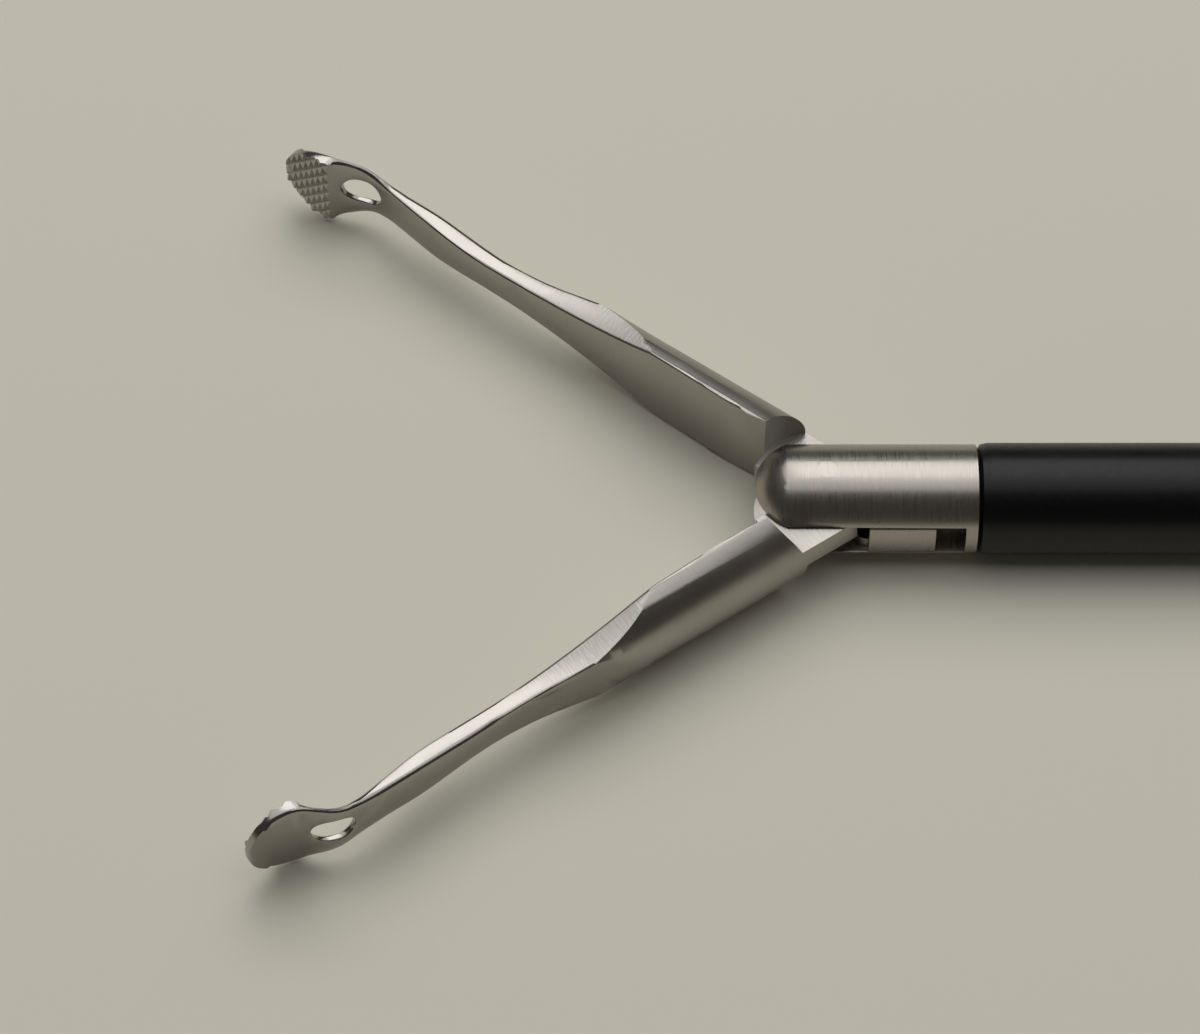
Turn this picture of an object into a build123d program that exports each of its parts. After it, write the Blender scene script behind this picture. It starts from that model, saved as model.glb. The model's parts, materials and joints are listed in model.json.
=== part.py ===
from build123d import *
from math import cos, hypot, radians, sin, sqrt
import os

os.makedirs("parts", exist_ok=True)

# Working end of a 5 mm laparoscopic grasper, millimetres and degrees.
# The origin is on the shaft axis at the front end of the black sleeve.
# +X runs back along the shaft, the jaws open in the XY plane and +Z is the pivot's axis.

# Shaft
shaft_diameter = 5.0
sleeve_wall = 0.3
outer_tube_wall = 0.25
inner_tube_wall = 0.3
tube_clearance = 0.05
sleeve_length = 34.0
sleeve_taper = 0.34       # the sleeve's front end narrows to the clevis over this length
end_step = 1.5            # each layer shows this much past the one around it
rod_stub = 3.0            # bare rod behind the inner tube, jaws open
groove_depth = 0.2        # bevel on both sides of the joint at the collar
groove_width = 0.11

# Clevis
clevis_diameter = 4.86
slot_width = 2.0
slot_end_wall = 0.63      # solid collar between slot and sleeve
pivot_setback = 6.8       # pivot ahead of the sleeve's front end
ear_lead = 0.8            # centre of the round ear end ahead of the pivot
ear_dome_radius = 2.62
spigot_length = 5.0
dowel_diameter = 0.5
dowel_length = 0.7

# Pins and rod
pivot_pin_diameter = 0.84
drive_pin_diameter = 0.6
rod_pin_diameter = 0.5
rod_diameter = 1.8
rod_neck_diameter = 1.1
rod_neck_length = 1.5
pin_clearance = 0.03      # round each pin that something turns on
guide_clearance = 0.03    # round the sliding rod
side_clearance = 0.05     # between flat faces that slide past each other

# Motion
open_angle = 34.8         # middle of the two jaws' angles from the shaft axis, as modelled
open_play = 0.6           # play of the drive pin in the slots lets one jaw stand this much wider
closing_angle = 35.7      # turned by each jaw once the play is taken up
rod_travel = 1.2
drive_pin_open = 1.1      # drive pin behind the pivot with the jaws open

# Crosshead
crosshead_length = 2.95
crosshead_front = 0.78    # its body starts this far behind the drive pin
crosshead_edge = 0.15     # rounding of its long edges
tongue_thickness = 0.56
tongue_wall = 0.2
cheek_wall = 0.4
pocket_depth = 0.7

# Jaw tang and tail
tang_gap = 0.06
tang_radius = 2.0
tang_inner_edge = 0.35
tang_neck_reach = 3.6
boss_wall = 0.1
tail_wall = 0.25

# Jaw base, measured from the pivot
jaw_diameter = 4.86
shoulder_radius = 3.43
shoulder_lead = 0.3
heel_inner = 0.79
step_reach = 5.6
step_inner = 0.41
base_reach = 11.0
base_inner = 0.6

# Jaw arm, at its waist and at the neck where it flares to the head
waist_reach = 18.0
waist_inner = 0.93
waist_thickness = 0.85
neck_reach = 23.0
neck_inner = 1.22
neck_thickness = 0.82
neck_height = 2.32
flank_reach = 19.6        # where the sides are ground lowest
flank_height = 1.88
flank_radius = 34.0

# Jaw head, measured back from the tip
jaw_reach = 31.0
head_diameter = 5.5
head_height = 4.3
crest_setback = 4.5
crest_inner = 1.74
crest_thickness = 0.34
crest_height = 2.76
pad_length = 2.4
pad_inner = 0.52
pad_thickness = 0.5
back_setback = 2.7        # middle of the curve between the pad's back and the crest
back_outer = 1.4
window_setback = 3.8
window_length = 1.9
window_width = 1.6

# Teeth of the pad
tooth_pitch = 0.48
tooth_depth = 0.2
tooth_angle = 45.0

# Guides and seal in the shaft
bush_length = 4.0
seal_length = 2.0
seal_washer_thickness = 0.4
seal_clearance = 0.02
rear_bush_setback = 2.0

# Sizes that follow
clevis_radius = clevis_diameter / 2
half_slot = slot_width / 2
half_tongue = tongue_thickness / 2
pivot_x = -pivot_setback
ear_x = pivot_x - ear_lead
slot_end_x = -slot_end_wall
drive_pin_x = pivot_x + drive_pin_open
tube_radius = shaft_diameter / 2 - sleeve_wall
inner_tube_radius = tube_radius - outer_tube_wall - tube_clearance
bore_radius = inner_tube_radius - inner_tube_wall
rod_bore_radius = rod_diameter / 2 + guide_clearance
sleeve_end_x = sleeve_length
outer_tube_end_x = sleeve_end_x + end_step
inner_tube_end_x = outer_tube_end_x + end_step
rod_end_x = inner_tube_end_x + rod_stub
tang_top = half_slot - side_clearance
tang_foot = tang_gap / 2
tail_foot = half_tongue + side_clearance
cam_half_width = drive_pin_diameter / 2 + pin_clearance
crosshead_x = drive_pin_x + crosshead_front
crosshead_end_x = crosshead_x + crosshead_length
crosshead_top = half_slot - side_clearance
crosshead_radius = clevis_radius - pin_clearance
pocket_half_width = crosshead_radius - cheek_wall
far = shaft_diameter * 2


def round_bar(radius, start, end):
    """Cylinder along X between two stations."""
    place = Plane(origin=(start, 0, 0), x_dir=(0, 1, 0), z_dir=(1, 0, 0))
    return extrude(place * Circle(radius), amount=end - start)


def post(radius, x, y, low, high):
    """Cylinder along Z between two heights."""
    return extrude(Plane.XY.offset(low) * Pos(x, y) * Circle(radius), amount=high - low)


def block(x0, x1, y0, y1, z0, z1):
    """Box between two corners."""
    size = Box(x1 - x0, y1 - y0, z1 - z0)
    return Pos((x0 + x1) / 2, (y0 + y1) / 2, (z0 + z1) / 2) * size


def tube(outer, inner, start, end):
    return round_bar(outer, start, end) - round_bar(inner, start, end)


def turned(outline):
    """Solid of revolution about the shaft's axis, from points given as station and radius."""
    return revolve(make_face(Polyline(*outline, close=True)), Axis.X)


def make_clevis():
    """Forked head: turned bar, slotted, with domed ears and a spigot for the inner tube."""
    collar = [(0, 0), (0, clevis_radius - groove_depth), (-groove_width, clevis_radius)]
    body = turned([(ear_x, 0), *collar, (ear_x, clevis_radius)])
    nose = round_bar(clevis_radius, ear_x - clevis_radius, ear_x)
    nose &= post(clevis_radius, ear_x, 0, -far, far)
    nose &= Pos(ear_x, 0, 0) * Sphere(ear_dome_radius)
    body += nose
    body -= block(ear_x - far, slot_end_x, -far, far, -half_slot, half_slot)
    body += round_bar(bore_radius, 0, spigot_length)
    body -= round_bar(rod_bore_radius, slot_end_x - rod_travel, spigot_length)
    body -= post(pivot_pin_diameter / 2, pivot_x, 0, -far, far)
    return body


def make_pivot_pin():
    """Headless pin, ground flush with the round of the ears."""
    pin = post(pivot_pin_diameter / 2, pivot_x, 0, -clevis_radius, clevis_radius)
    return pin & round_bar(clevis_radius, pivot_x - 1, pivot_x + 1)


def tang_height(layer, low, high):
    """Lowest and highest Z of a slice of the tang that lies above or below the middle."""
    return (low, high) if layer > 0 else (-high, -low)


def cam_track(half):
    """Bar along the drive pin's path in the jaw, as wide as twice the given half.

    The path is a spiral: the pin's distance from the pivot grows in step with the jaw's angle.
    """
    pitch = rod_travel / radians(closing_angle)
    steps = 8
    near_side = []
    far_side = []
    for step in range(steps + 1):
        turn = open_angle - closing_angle * step / steps
        reach = drive_pin_open + rod_travel * step / steps
        place = Vector(reach * cos(radians(turn)), reach * sin(radians(turn)))
        along = Vector(pitch * cos(radians(turn)), pitch * sin(radians(turn)))
        along += Vector(reach * sin(radians(turn)), -reach * cos(radians(turn)))
        side = Vector(-along.Y, along.X).normalized() * half
        near_side.append(place + side)
        far_side.append(place - side)
    first = (near_side[0] + far_side[0]) / 2
    last = (near_side[-1] + far_side[-1]) / 2
    edges = Spline(*near_side) + Spline(*far_side)
    edges += Line(near_side[0], far_side[0])
    edges += Line(near_side[-1], far_side[-1])
    track = extrude(make_face(edges), amount=half_slot, both=True)
    track += post(half, first.X, first.Y, -half_slot, half_slot)
    track += post(half, last.X, last.Y, -half_slot, half_slot)
    return track


def make_tang(layer):
    """Flat half of the hinge: neck, pivot eye and tail, in one of the two layers of the slot."""
    low, high = tang_height(layer, tang_foot, tang_top)
    tang = post(tang_radius, 0, 0, low, high)
    tang += block(-tang_neck_reach, 0, -tang_inner_edge, jaw_diameter / 2, low, high)
    tang += cam_track(cam_half_width + tail_wall) & block(-far, far, -far, far, low, high)
    tang &= round_bar(jaw_diameter / 2, -far, far)
    relief_low, relief_high = tang_height(layer, 0, tail_foot)
    relief = block(0, far, -far, far, relief_low, relief_high)
    boss_radius = pivot_pin_diameter / 2 + pin_clearance + boss_wall
    relief -= post(boss_radius, 0, 0, -half_slot, half_slot)
    tang -= relief
    return tang


def jaw_plan():
    """Outline of the jaw from above, with its inner face towards the other jaw."""
    tip = -jaw_reach
    crest = tip + crest_setback
    pad_end = tip + pad_length
    half_pad = pad_thickness / 2
    inner_base = (-base_reach, base_inner)
    inner_waist = (-waist_reach, waist_inner)
    inner_neck = (-neck_reach, neck_inner)
    inner_crest = (crest, crest_inner)
    pad_start = (pad_end, pad_inner)
    pad_tip = (tip + half_pad, pad_inner)
    outer_tip = (tip + half_pad, pad_inner + pad_thickness)
    outer_back = (tip + back_setback, back_outer)
    outer_crest = (crest, crest_inner + crest_thickness)
    outer_neck = (-neck_reach, neck_inner + neck_thickness)
    outer_waist = (-waist_reach, waist_inner + waist_thickness)
    outer_base = (-base_reach, jaw_diameter / 2)
    outline = Polyline((0, heel_inner), (-step_reach, step_inner), inner_base)
    inner_curve = [inner_base, inner_waist, inner_neck, inner_crest]
    outline += Spline(*inner_curve, tangents=[(-1, 0.05), (-1, 0)], tangent_scalars=[0.5, 0.5])
    outline += TangentArc(inner_crest, pad_start, tangent=(-1, 0))
    outline += Line(pad_start, pad_tip)
    outline += ThreePointArc(pad_tip, (tip, pad_inner + half_pad), outer_tip)
    outline += Spline(outer_tip, outer_back, outer_crest, tangents=[(1, 0.05), (1, 0)])
    outer_curve = [outer_crest, outer_neck, outer_waist, outer_base]
    outline += Spline(*outer_curve, tangents=[(1, 0), (1, 0.15)])
    outline += Polyline(outer_base, (0, jaw_diameter / 2), (0, heel_inner))
    return make_face(outline)


def jaw_side():
    """Outline of the jaw from the side: flanks ground hollow, and a flared round head."""
    half_flank = flank_height / 2
    edge = jaw_diameter / 2 + side_clearance
    run = sqrt(flank_radius**2 - (flank_radius - edge + half_flank)**2)
    start = -flank_reach + run
    pad_end = -jaw_reach + pad_length
    heights = [
        (-flank_reach, half_flank),
        (-neck_reach, neck_height / 2),
        (-jaw_reach + crest_setback, crest_height / 2),
        (pad_end, head_height / 2),
    ]
    flare = Spline(*heights, tangents=[(-1, 0), (-1, 0.2)])
    upper = TangentArc((-flank_reach, half_flank), (start, edge), tangent=(1, 0)) + flare
    outline = upper + mirror(upper, about=Plane.XZ)
    outline += ThreePointArc((pad_end, head_height / 2), (-jaw_reach, 0), (pad_end, -head_height / 2))
    outline += Polyline((start, -edge), (0, -edge), (0, edge), (start, edge))
    return make_face(outline)


def jaw_envelope():
    """Room for the jaw: the bar at its base, a little more at the head, inside the cannula."""
    base = jaw_diameter / 2
    head = head_diameter / 2
    outline = [(0, 0), (0, base), (-base_reach, base), (-jaw_reach + crest_setback, head)]
    outline += [(-jaw_reach, head), (-jaw_reach, 0)]
    return turned(outline)


def pad_teeth():
    """Crossed V grooves that leave pyramids on the gripping pad."""
    lift = 0.05
    spread = tooth_pitch / 2 * (1 + lift / tooth_depth)
    profile = [(-spread, -lift), (spread, -lift), (0, tooth_depth)]
    reach = hypot(pad_length, head_height)
    count = int(reach / 2 / tooth_pitch) + 1
    grooves = []
    for turn in (-tooth_angle, tooth_angle):
        for index in range(-count, count + 1):
            face = Plane.XY * make_face(Polyline(*profile, close=True))
            groove = extrude(Pos(index * tooth_pitch, 0, -reach) * face, amount=2 * reach)
            grooves.append(Rot(0, turn, 0) * groove)
    middle = -jaw_reach + pad_length / 2
    return [Pos(middle, pad_inner, 0) * groove for groove in grooves]


def make_jaw(layer):
    """Jaw with its axis along the shaft, opening towards +Y, the pivot at the origin."""
    body = extrude(jaw_plan(), amount=far, both=True)
    body &= extrude(Plane.XZ * jaw_side(), amount=far, both=True)
    body &= jaw_envelope()
    low, high = tang_height(layer, tang_foot, tang_top)
    shoulder = post(shoulder_radius, -shoulder_lead, 0, -far, far)
    shoulder -= block(-far, far, -far, far, low, high)
    body -= shoulder
    body += make_tang(layer)
    body -= post(pivot_pin_diameter / 2 + pin_clearance, 0, 0, -far, far)
    body -= cam_track(cam_half_width)
    window = SlotOverall(window_length, window_width)
    centre = -jaw_reach + window_setback
    body -= Pos(centre, 0, 0) * extrude(Plane.XZ * window, amount=far, both=True)
    for groove in pad_teeth():
        body -= groove
    return body


def make_upper_jaw():
    jaw = make_jaw(-1)
    return Pos(pivot_x, 0, 0) * Rot(0, 0, -open_angle - open_play) * jaw


def make_lower_jaw():
    jaw = mirror(make_jaw(1), about=Plane.XZ)
    return Pos(pivot_x, 0, 0) * Rot(0, 0, open_angle - open_play) * jaw


def make_crosshead():
    """Sliding block between the ears, with a tongue that carries the drive pin between the tails."""
    body = block(crosshead_x, crosshead_end_x, -far, far, -crosshead_top, crosshead_top)
    body &= round_bar(crosshead_radius, crosshead_x - far, crosshead_end_x + far)
    body = fillet(body.edges().filter_by(Axis.X), crosshead_edge)
    pocket_end = crosshead_x + pocket_depth
    for low, high in ((half_tongue, far), (-far, -half_tongue)):
        body -= block(crosshead_x - far, pocket_end, -pocket_half_width, pocket_half_width, low, high)
    tongue_radius = drive_pin_diameter / 2 + tongue_wall
    body += post(tongue_radius, drive_pin_x, 0, -half_tongue, half_tongue)
    body += block(drive_pin_x, pocket_end, -tongue_radius, tongue_radius, -half_tongue, half_tongue)
    body -= post(drive_pin_diameter / 2, drive_pin_x, 0, -far, far)
    body -= round_bar(rod_neck_diameter / 2, crosshead_end_x - rod_neck_length, crosshead_end_x)
    body -= post(rod_pin_diameter / 2, crosshead_end_x - rod_neck_length / 2, 0, -far, far)
    return body


def make_pull_rod():
    """Rod turned down at its front to fit the crosshead, and cross drilled for its pin."""
    neck_start = crosshead_end_x - rod_neck_length
    rod = round_bar(rod_neck_diameter / 2, neck_start, crosshead_end_x)
    rod += round_bar(rod_diameter / 2, crosshead_end_x, rod_end_x)
    rod -= post(rod_pin_diameter / 2, crosshead_end_x - rod_neck_length / 2, 0, -far, far)
    return rod


def make_dowels():
    """Two short dowels that lock the clevis spigot in the inner tube."""
    return [
        post(dowel_diameter / 2, spigot_length / 2, 0, low, low + dowel_length)
        for low in (inner_tube_radius - dowel_length, -inner_tube_radius)
    ]


def drilled_for_dowels(body):
    for dowel in make_dowels():
        body -= dowel
    return body


def make_inner_tube():
    body = tube(inner_tube_radius, bore_radius, 0, inner_tube_end_x)
    return drilled_for_dowels(body)


def make_sleeve():
    """Black insulation, bevelled at its front end and narrowing there to meet the clevis."""
    outside = shaft_diameter / 2
    front = groove_width + sleeve_taper
    outline = [(0, tube_radius), (0, clevis_radius - groove_depth), (groove_width, clevis_radius)]
    outline += [(front, outside), (sleeve_end_x, outside), (sleeve_end_x, tube_radius)]
    return turned(outline)


bush_x = spigot_length
seal_x = bush_x + bush_length + seal_washer_thickness
rear_bush_x = inner_tube_end_x - rear_bush_setback - bush_length

pieces = {
    "upper_jaw": make_upper_jaw(),
    "lower_jaw": make_lower_jaw(),
    "clevis": drilled_for_dowels(make_clevis()),
    "pivot_pin": make_pivot_pin(),
    "crosshead": make_crosshead(),
    "drive_pin": post(drive_pin_diameter / 2, drive_pin_x, 0, -tang_top, tang_top),
    "pull_rod": make_pull_rod(),
    "rod_pin": post(
        rod_pin_diameter / 2, crosshead_end_x - rod_neck_length / 2, 0, -crosshead_top, crosshead_top
    ),
    "insulation_sleeve": make_sleeve(),
    "outer_tube": tube(tube_radius, tube_radius - outer_tube_wall, 0, outer_tube_end_x),
    "inner_tube": make_inner_tube(),
    "front_bush": tube(bore_radius, rod_bore_radius, bush_x, bush_x + bush_length),
    "front_seal_washer": tube(bore_radius, rod_bore_radius, seal_x - seal_washer_thickness, seal_x),
    "rod_seal": tube(bore_radius, rod_diameter / 2 + seal_clearance, seal_x, seal_x + seal_length),
    "rear_seal_washer": tube(
        bore_radius, rod_bore_radius, seal_x + seal_length, seal_x + seal_length + seal_washer_thickness
    ),
    "rear_bush": tube(bore_radius, rod_bore_radius, rear_bush_x, rear_bush_x + bush_length),
    "clevis_dowels": Compound(make_dowels()),
}

for name, piece in pieces.items():
    export_step(piece, f"parts/{name}.step")
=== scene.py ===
import bpy
import bmesh
import json
import math
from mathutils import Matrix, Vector


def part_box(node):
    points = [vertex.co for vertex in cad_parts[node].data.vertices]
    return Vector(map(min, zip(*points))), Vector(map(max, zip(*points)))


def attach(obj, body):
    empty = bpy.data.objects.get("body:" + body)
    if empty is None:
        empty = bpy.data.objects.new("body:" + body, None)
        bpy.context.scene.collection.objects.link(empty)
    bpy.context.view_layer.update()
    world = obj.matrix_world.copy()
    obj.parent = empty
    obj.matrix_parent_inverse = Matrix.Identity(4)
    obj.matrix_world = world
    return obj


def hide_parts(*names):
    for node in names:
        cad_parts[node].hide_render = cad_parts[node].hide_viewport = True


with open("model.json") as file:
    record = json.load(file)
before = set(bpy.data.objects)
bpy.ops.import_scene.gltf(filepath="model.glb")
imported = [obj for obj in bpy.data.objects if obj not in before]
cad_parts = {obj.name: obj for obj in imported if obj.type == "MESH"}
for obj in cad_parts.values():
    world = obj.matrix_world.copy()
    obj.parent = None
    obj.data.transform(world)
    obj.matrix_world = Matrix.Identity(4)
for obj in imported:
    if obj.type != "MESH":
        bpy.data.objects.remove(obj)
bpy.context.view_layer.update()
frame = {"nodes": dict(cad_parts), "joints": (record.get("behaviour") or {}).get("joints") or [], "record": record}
nodes = frame["nodes"]
mm = 0.001    # metres
joints = {joint["name"]: joint for joint in frame["joints"]}
pivotX = joints["upper_jaw_hinge"]["pos_m"][0] / mm
bodyOf = {node: body for body, names in frame["record"]["behaviour"]["bodies"].items() for node in names}
upperAngle = 35.4    # degrees that each jaw stands open from the shaft's axis
lowerAngle = 34.2
print("frame loaded:", len(nodes), "nodes")


def linear(hexColour):
    channels = [int(hexColour[i:i + 2], 16) / 255 for i in (1, 3, 5)]
    return [c / 12.92 if c <= 0.04045 else ((c + 0.055) / 1.055) ** 2.4 for c in channels] + [1.0]


def addNode(material, kind, inputs=None, **settings):
    node = material.node_tree.nodes.new(kind)
    for name, value in settings.items():
        setattr(node, name, value)
    for name, value in (inputs or {}).items():
        if isinstance(value, bpy.types.NodeSocket):
            material.node_tree.links.new(value, node.inputs[name])
        else:
            node.inputs[name].default_value = value
    return node


def startMaterial(name, colour, metallic=0.0):
    material = bpy.data.materials.new(name)
    material.use_nodes = True
    shader = material.node_tree.nodes["Principled BSDF"]
    shader.inputs["Base Color"].default_value = linear(colour)
    shader.inputs["Metallic"].default_value = metallic
    place = addNode(material, "ShaderNodeTexCoord").outputs["Object"]
    return material, shader, place


def spreadOver(material, noise, low, high):
    # Nearly all of a noise lies between 0.3 and 0.7, and is spread from low to high.
    return addNode(material, "ShaderNodeMapRange", {
        "Value": noise.outputs["Fac"], "From Min": 0.3, "From Max": 0.7, "To Min": low, "To Max": high,
    }).outputs["Result"]


def finishMaterial(material, shader, roughness, bump):
    material.node_tree.links.new(roughness, shader.inputs["Roughness"])
    material.node_tree.links.new(bump.outputs["Normal"], shader.inputs["Normal"])
    return material


# Stainless steel, forged, ground and polished by hand. The wheel leaves fine marks across the arm,
# plainest near the base, and the polish leaves faint waves, so that what it mirrors is uneven.
jawSteel = {
    "colour": "#A8A49E",
    "polished": 0.2,        # roughness at the head
    "ground": 0.34,         # roughness at the base
    "smoother": -0.03,      # what the waves add to the roughness, from here
    "rougher": 0.05,        # to here
    "groundFrom": -12.0,    # mm along the shaft's axis, where the marks are plainest
    "groundTo": -21.0,      # mm, where they are faintest
    "markSpacing": 0.09,    # mm
    "markStretch": 0.12,    # how much slower a mark changes along itself
    "markDepth": 0.016,     # mm
    "faintest": 0.25,       # share of the marks' depth that is left at the head
    "waveSize": 2.2,        # mm
    "waveDepth": 0.004,     # mm
}


def jawSteelMaterial(name, turn):
    s = jawSteel
    material, shader, place = startMaterial(name, s["colour"], 1.0)
    across = 1 / (s["markSpacing"] * mm)
    turned = addNode(material, "ShaderNodeMapping", {"Vector": place, "Rotation": (0, 0, turn)})
    stretched = addNode(material, "ShaderNodeMapping", {
        "Vector": turned.outputs["Vector"],
        "Scale": (across, s["markStretch"] * across, s["markStretch"] * across)})
    marks = addNode(material, "ShaderNodeTexNoise", {
        "Vector": stretched.outputs["Vector"], "Scale": 1.0, "Detail": 3.0, "Roughness": 0.6})
    waves = addNode(material, "ShaderNodeTexNoise", {
        "Vector": place, "Scale": 1 / (s["waveSize"] * mm), "Detail": 2.0})
    along = addNode(material, "ShaderNodeSeparateXYZ", {"Vector": place})
    ground = addNode(material, "ShaderNodeMapRange", {
        "Value": along.outputs["X"], "From Min": s["groundTo"] * mm, "From Max": s["groundFrom"] * mm})
    rough = addNode(material, "ShaderNodeMapRange", {
        "Value": ground.outputs["Result"], "To Min": s["polished"], "To Max": s["ground"]})
    uneven = addNode(material, "ShaderNodeMath", {
        0: rough.outputs["Result"], 1: spreadOver(material, waves, s["smoother"], s["rougher"])},
        operation="ADD")
    depth = addNode(material, "ShaderNodeMapRange", {
        "Value": ground.outputs["Result"], "To Min": s["faintest"], "To Max": 1.0})
    swell = addNode(material, "ShaderNodeBump", {
        "Distance": s["waveDepth"] * mm, "Height": waves.outputs["Fac"]})
    bump = addNode(material, "ShaderNodeBump", {
        "Strength": depth.outputs["Result"], "Distance": s["markDepth"] * mm,
        "Height": marks.outputs["Fac"], "Normal": swell.outputs["Normal"]})
    return finishMaterial(material, shader, uneven.outputs["Value"], bump)


# Stainless steel bar, turned and buffed: hair lines round the bar draw each highlight out.
# Spacing and depth are in mm.
clevisSteel = {"colour": "#A9A49D", "roughness": 0.3, "lineSpacing": 0.06, "lineDepth": 0.0025}
pinSteel = {"colour": "#A6A19A", "roughness": 0.25, "lineSpacing": 0.05, "lineDepth": 0.002}
tubeSteel = {"colour": "#B4B0A9", "roughness": 0.3, "lineSpacing": 0.08, "lineDepth": 0.001}
turning = {"stretch": 0.05, "smoother": 0.85, "rougher": 1.2}    # shares of spacing and roughness


def turnedSteelMaterial(name, s):
    material, shader, place = startMaterial(name, s["colour"], 1.0)
    across = 1 / (s["lineSpacing"] * mm)
    along = addNode(material, "ShaderNodeMapping", {
        "Vector": place, "Scale": (across, turning["stretch"] * across, turning["stretch"] * across)})
    lines = addNode(material, "ShaderNodeTexNoise", {
        "Vector": along.outputs["Vector"], "Scale": 1.0, "Detail": 2.0})
    rough = spreadOver(material, lines, s["roughness"] * turning["smoother"],
                       s["roughness"] * turning["rougher"])
    bump = addNode(material, "ShaderNodeBump", {
        "Distance": s["lineDepth"] * mm, "Height": lines.outputs["Fac"]})
    return finishMaterial(material, shader, rough, bump)


# Heat shrunk fluoropolymer: dense black, drawn tight, with a soft sheen that its low index keeps dark.
sleevePlastic = {"colour": "#08090B", "index": 1.38, "roughness": 0.34, "grain": 0.25, "depth": 0.0015}
# Turned PEEK: beige, matt, with a fine grain.
bushPlastic = {"colour": "#D8CBA8", "index": 1.65, "roughness": 0.45, "grain": 0.08, "depth": 0.001}
# Moulded silicone rubber: black and dull.
sealRubber = {"colour": "#1D1D1E", "index": 1.43, "roughness": 0.6, "grain": 0.05, "depth": 0.001}
moulding = {"smoother": 0.9, "rougher": 1.12}    # shares of the roughness


def polymerMaterial(name, s):
    material, shader, place = startMaterial(name, s["colour"])
    shader.inputs["IOR"].default_value = s["index"]
    grain = addNode(material, "ShaderNodeTexNoise", {
        "Vector": place, "Scale": 1 / (s["grain"] * mm), "Detail": 3.0})
    rough = spreadOver(material, grain, s["roughness"] * moulding["smoother"],
                       s["roughness"] * moulding["rougher"])
    bump = addNode(material, "ShaderNodeBump", {
        "Distance": s["depth"] * mm, "Height": grain.outputs["Fac"]})
    return finishMaterial(material, shader, rough, bump)


finishes = {
    "upperJawSteel": jawSteelMaterial("upperJawSteel", math.radians(upperAngle)),
    "lowerJawSteel": jawSteelMaterial("lowerJawSteel", -math.radians(lowerAngle)),
    "clevisSteel": turnedSteelMaterial("clevisSteel", clevisSteel),
    "pinSteel": turnedSteelMaterial("pinSteel", pinSteel),
    "tubeSteel": turnedSteelMaterial("tubeSteel", tubeSteel),
    "sleevePlastic": polymerMaterial("sleevePlastic", sleevePlastic),
    "bushPlastic": polymerMaterial("bushPlastic", bushPlastic),
    "sealRubber": polymerMaterial("sealRubber", sealRubber),
}
print("materials made:", len(finishes))

finishOf = {
    "upper_jaw": "upperJawSteel",
    "lower_jaw": "lowerJawSteel",
    "clevis": "clevisSteel",
    "crosshead": "clevisSteel",
    "pivot_pin": "pinSteel",
    "drive_pin": "pinSteel",
    "rod_pin": "pinSteel",
    "clevis_dowels": "pinSteel",
    "pull_rod": "tubeSteel",
    "outer_tube": "tubeSteel",
    "inner_tube": "tubeSteel",
    "insulation_sleeve": "sleevePlastic",
    "front_bush": "bushPlastic",
    "rear_bush": "bushPlastic",
    "front_seal_washer": "bushPlastic",
    "rear_seal_washer": "bushPlastic",
    "rod_seal": "sealRubber",
}
for name in nodes:
    nodes[name].data.materials.clear()
    nodes[name].data.materials.append(finishes[finishOf[name]])
print("pieces dressed:", len(nodes))


# A piece with rounded edges is a copy of its node: merged, its flat faces joined, each sharp edge
# rounded by the width that a function gives for its place, and shaded smooth over the roundings.
merging = {"nearest": 0.008, "flat": 0.3, "smooth": 30}    # mm, then degrees


def mergedCopy(node, newName):
    bpy.ops.object.select_all(action="DESELECT")
    nodes[node].select_set(True)
    bpy.context.view_layer.objects.active = nodes[node]
    bpy.ops.object.duplicate()
    piece = bpy.context.active_object
    piece.name = newName
    bpy.ops.mesh.customdata_custom_splitnormals_clear()
    bpy.ops.object.mode_set(mode="EDIT")
    bpy.ops.mesh.select_mode(type="EDGE")
    bpy.ops.mesh.select_all(action="SELECT")
    bpy.ops.mesh.remove_doubles(threshold=merging["nearest"] * mm)
    bpy.ops.mesh.dissolve_limited(angle_limit=math.radians(merging["flat"]))
    bpy.ops.object.mode_set(mode="OBJECT")
    return piece


def roundEdges(piece, widthOf, sharpness, widest, steps):
    bpy.ops.object.mode_set(mode="EDIT")
    bpy.ops.mesh.select_all(action="DESELECT")
    bpy.ops.mesh.edges_select_sharp(sharpness=math.radians(sharpness))
    mesh = bmesh.from_edit_mesh(piece.data)
    weights = mesh.edges.layers.float.new("bevel_weight_edge")
    count = 0
    for edge in mesh.edges:
        if edge.select:
            edge[weights] = widthOf(edge) / widest
            count += edge[weights] > 0
    bmesh.update_edit_mesh(piece.data)
    bpy.ops.object.mode_set(mode="OBJECT")
    bevel = piece.modifiers.new("rounding", "BEVEL")
    bevel.limit_method = "WEIGHT"
    bevel.width = widest * mm
    bevel.segments = steps
    bevel.use_clamp_overlap = False
    bevel.miter_outer = "MITER_ARC"
    bpy.ops.object.modifier_apply(modifier=bevel.name)
    bpy.ops.object.shade_smooth_by_angle(angle=math.radians(merging["smooth"]), keep_sharp_edges=False)
    print(piece.name, "has", count, "rounded edges and", len(piece.data.polygons), "faces")


def roundedCopy(node, newName, widthOf, sharpness, widest, steps):
    piece = mergedCopy(node, newName)
    roundEdges(piece, widthOf, sharpness, widest, steps)
    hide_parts(node)
    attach(piece, bodyOf[node])


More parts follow.
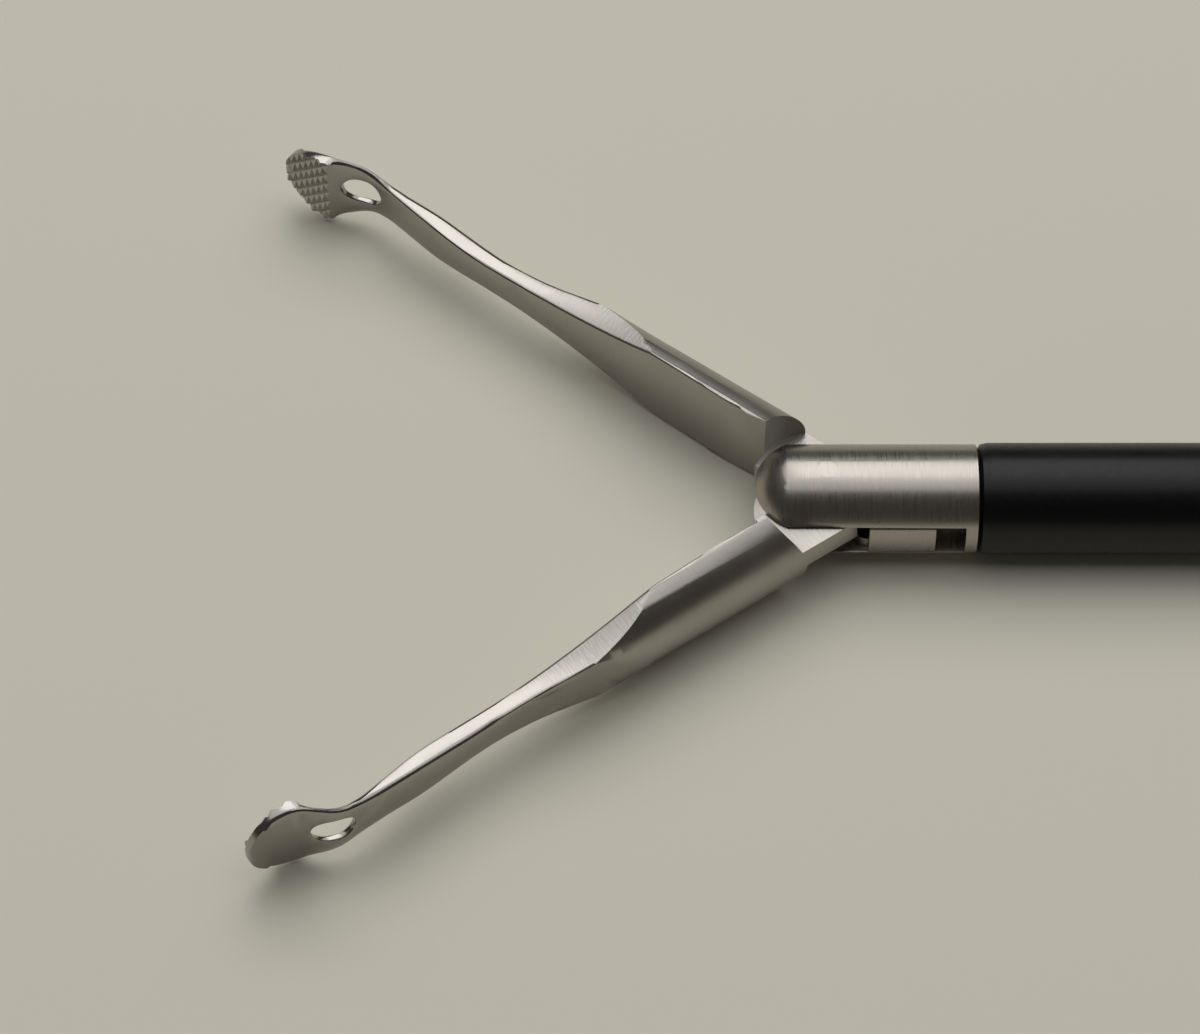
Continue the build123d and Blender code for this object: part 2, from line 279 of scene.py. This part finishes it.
# The jaws' long edges are rounded by the polishing. They are told apart by their place on the jaw:
# how far they lie from the pivot, how far out from the jaw's own axis, and how high. All in mm.
jawEdges = {
    "sharpness": 42,      # degrees between two faces that meet at an edge
    "outer": 0.24,        # along the back; the widest
    "inner": 0.16,        # along the hollow inner face
    "rimBack": 0.2,       # round the head, its outer edge
    "rimFront": 0.1,      # round the head, its inner edge
    "rimFrom": 0.95,      # out from the axis, between those two
    "window": 0.08,
    "steps": 3,
    "flankFrom": 13.2,    # the flanks run out into the base, and their edge fades over this stretch
    "flankTo": 18.0,
    "flankOut": 0.95,
    "backOut": 1.4,       # an edge further out than this is on the back
    "neckOut": 1.85,      # and from the neck on, further than this
    "armFrom": 4.2,       # the hinge stays as it is
    "neckFrom": 22.0,
    "headFrom": 25.6,
    "padFrom": 28.4,
    "padDepth": 0.9,      # the teeth lie nearer the axis than this, and stay as they are
    "tipFrom": 30.2,      # the tip is round already
    "windowMiddle": 27.2,
    "windowReach": 1.02,
    "windowHeight": 0.84,
}


def placeOnJaw(point, angle, side):
    x = point.x / mm - pivotX
    y = point.y / mm * side
    c, s = math.cos(math.radians(angle)), math.sin(math.radians(angle))
    return y * s - x * c, x * s + y * c, abs(point.z / mm)


def jawEdgeWidth(edge, angle, side):
    s = jawEdges
    places = [placeOnJaw(corner.co, angle, side) for corner in edge.verts]
    near, far = sorted(place[0] for place in places)
    lowOut, highOut = sorted(place[1] for place in places)
    highest = max(place[2] for place in places)
    if near < s["armFrom"] or far > s["tipFrom"] or (far > s["padFrom"] and lowOut < s["padDepth"]):
        return 0
    inWindow = near > s["windowMiddle"] - s["windowReach"] and far < s["windowMiddle"] + s["windowReach"]
    if inWindow and highest < s["windowHeight"]:
        return s["window"]
    if far > s["headFrom"]:
        return s["rimBack"] if lowOut > s["rimFrom"] else s["rimFront"]
    if near < s["flankTo"] and highOut > s["flankOut"]:
        fade = (near - s["flankFrom"]) / (s["flankTo"] - s["flankFrom"])
        return s["outer"] * max(0, min(1, fade))
    outFrom = s["backOut"] if near < s["neckFrom"] else s["neckOut"]
    return s["outer"] if (lowOut + highOut) / 2 > outFrom else s["inner"]


def roundedJaw(node, newName, angle, side):
    roundedCopy(node, newName, lambda edge: jawEdgeWidth(edge, angle, side),
                jawEdges["sharpness"], jawEdges["outer"], jawEdges["steps"])


roundedJaw("upper_jaw", "upperJawGround", upperAngle, 1)
roundedJaw("lower_jaw", "lowerJawGround", lowerAngle, -1)

# The clevis: only the edges of its slot, at the tongues' faces, are broken, finely. In mm.
clevisEdges = {"sharpness": 42, "slot": 0.05, "halfSlot": 1.0, "closeTo": 0.01, "steps": 2}


def clevisEdgeWidth(edge):
    off = max(abs(abs(corner.co.z / mm) - clevisEdges["halfSlot"]) for corner in edge.verts)
    return clevisEdges["slot"] if off < clevisEdges["closeTo"] else 0


roundedCopy("clevis", "clevisTurned", clevisEdgeWidth,
            clevisEdges["sharpness"], clevisEdges["slot"], clevisEdges["steps"])

# Floor: a pale matt board under the sleeve, with the faint mottle of its paint.
paleBoard = {
    "colour": "#F0EDDD",
    "size": 3.0,          # m
    "mottle": 6.0,        # mm
    "smoother": 0.85,     # roughness, from here
    "rougher": 1.0,       # to here
    "specular": 0.2,
}
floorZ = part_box("insulation_sleeve")[0].z
bpy.ops.object.select_all(action="DESELECT")
bpy.ops.mesh.primitive_plane_add(size=paleBoard["size"], location=(0, 0, floorZ))
floor = bpy.context.active_object
floor.name = "floor"
floorMaterial, floorShader, floorPlace = startMaterial("paleBoard", paleBoard["colour"])
floorMottle = addNode(floorMaterial, "ShaderNodeTexNoise", {
    "Vector": floorPlace, "Scale": 1 / (paleBoard["mottle"] * mm), "Detail": 2.0})
floorRough = addNode(floorMaterial, "ShaderNodeMapRange", {
    "Value": floorMottle.outputs["Fac"], "To Min": paleBoard["smoother"], "To Max": paleBoard["rougher"]})
floorMaterial.node_tree.links.new(floorRough.outputs["Result"], floorShader.inputs["Roughness"])
floorShader.inputs["Specular IOR Level"].default_value = paleBoard["specular"]
floor.data.materials.append(floorMaterial)

# Light: a large dim ceiling panel, a brighter narrow softbox within it, and a weak even fill.
# Angles are in degrees, and lengths in metres.
lamps = {
    "ceiling": {
        "azimuth": 0, "elevation": 70, "distance": 0.62, "width": 1.1, "height": 0.9, "radiance": 0.9},
    "softbox": {
        "azimuth": -3, "elevation": 58, "distance": 0.55, "width": 0.28, "height": 0.45, "radiance": 1.25},
}
lampAim = Vector((-0.017, 0, 0))
fill = {"colour": "#8F8B86", "strength": 0.22}
world = bpy.data.worlds.new("studio")
bpy.context.scene.world = world
world.use_nodes = True
background = world.node_tree.nodes["Background"]
background.inputs["Color"].default_value = linear(fill["colour"])
background.inputs["Strength"].default_value = fill["strength"]


def addPanel(name, azimuth, elevation, distance, width, height, radiance):
    light = bpy.data.lights.new(name, "AREA")
    light.shape = "RECTANGLE"
    light.size = width
    light.size_y = height
    light.energy = radiance * math.pi * width * height
    lamp = bpy.data.objects.new(name, light)
    bpy.context.scene.collection.objects.link(lamp)
    a, e = math.radians(azimuth), math.radians(elevation)
    away = Vector((math.sin(a) * math.cos(e), math.cos(a) * math.cos(e), math.sin(e)))
    lamp.location = lampAim + away * distance
    lamp.rotation_euler = away.to_track_quat("Z", "Y").to_euler()


for name, lamp in lamps.items():
    addPanel(name, **lamp)

# Camera: the photograph's long lens, looking down across the jaws. Its elevation is in degrees,
# its clipping distances in metres, and the rest in mm.
view = {
    "elevation": 57.5,
    "distance": 200.0,
    "lens": 134.2,
    "sensor": 36,
    "nearest": 0.01,
    "farthest": 20,
    "target": (-16.907, -0.986, 0),
}
lens = bpy.data.cameras.new("camera")
lens.lens = view["lens"]
lens.sensor_width = view["sensor"]
lens.clip_start = view["nearest"]
lens.clip_end = view["farthest"]
camera = bpy.data.objects.new("camera", lens)
bpy.context.scene.collection.objects.link(camera)
elevation = math.radians(view["elevation"])
back = Vector((0, -math.cos(elevation), math.sin(elevation)))
camera.location = (Vector(view["target"]) + back * view["distance"]) * mm
camera.rotation_euler = back.to_track_quat("Z", "Y").to_euler()
bpy.context.scene.camera = camera
bpy.context.scene.view_settings.view_transform = "Standard"
print("stage set")
